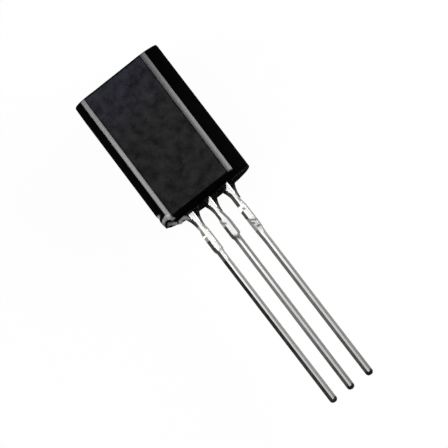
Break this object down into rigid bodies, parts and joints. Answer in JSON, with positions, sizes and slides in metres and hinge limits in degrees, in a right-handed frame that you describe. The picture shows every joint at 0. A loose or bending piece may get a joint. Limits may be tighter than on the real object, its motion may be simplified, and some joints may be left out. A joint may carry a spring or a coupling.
{
  "type": "long-body to-92 transistor",
  "caption": "Moulded D-shaped transistor with a flat front, a round back and straight tinned leads, for switching or amplifying on a circuit board.",
  "frame": {"origin": "on the surface that the part lies on, under the middle of its box", "axes": "+X across the body, +Y along it away from the leads, +Z the outward normal of the flat face"},
  "size_m": [0.006, 0.0222, 0.0049],
  "materials": {
    "epoxy": "matte black moulding compound with smoother bevels",
    "tinned_lead": "bright tin plating on a copper alloy",
    "solder": "dull soft solder",
    "silicon": "polished silicon with a pale metal layer",
    "gold": "bright drawn gold wire"
  },
  "bodies": {
    "root": {"moulded_body": "epoxy", "collector_lead": "tinned_lead", "emitter_lead": "tinned_lead", "base_lead": "tinned_lead", "die_solder": "solder", "silicon_die": "silicon", "emitter_wire": "gold", "base_wire": "gold"}
  },
  "joints": []
}
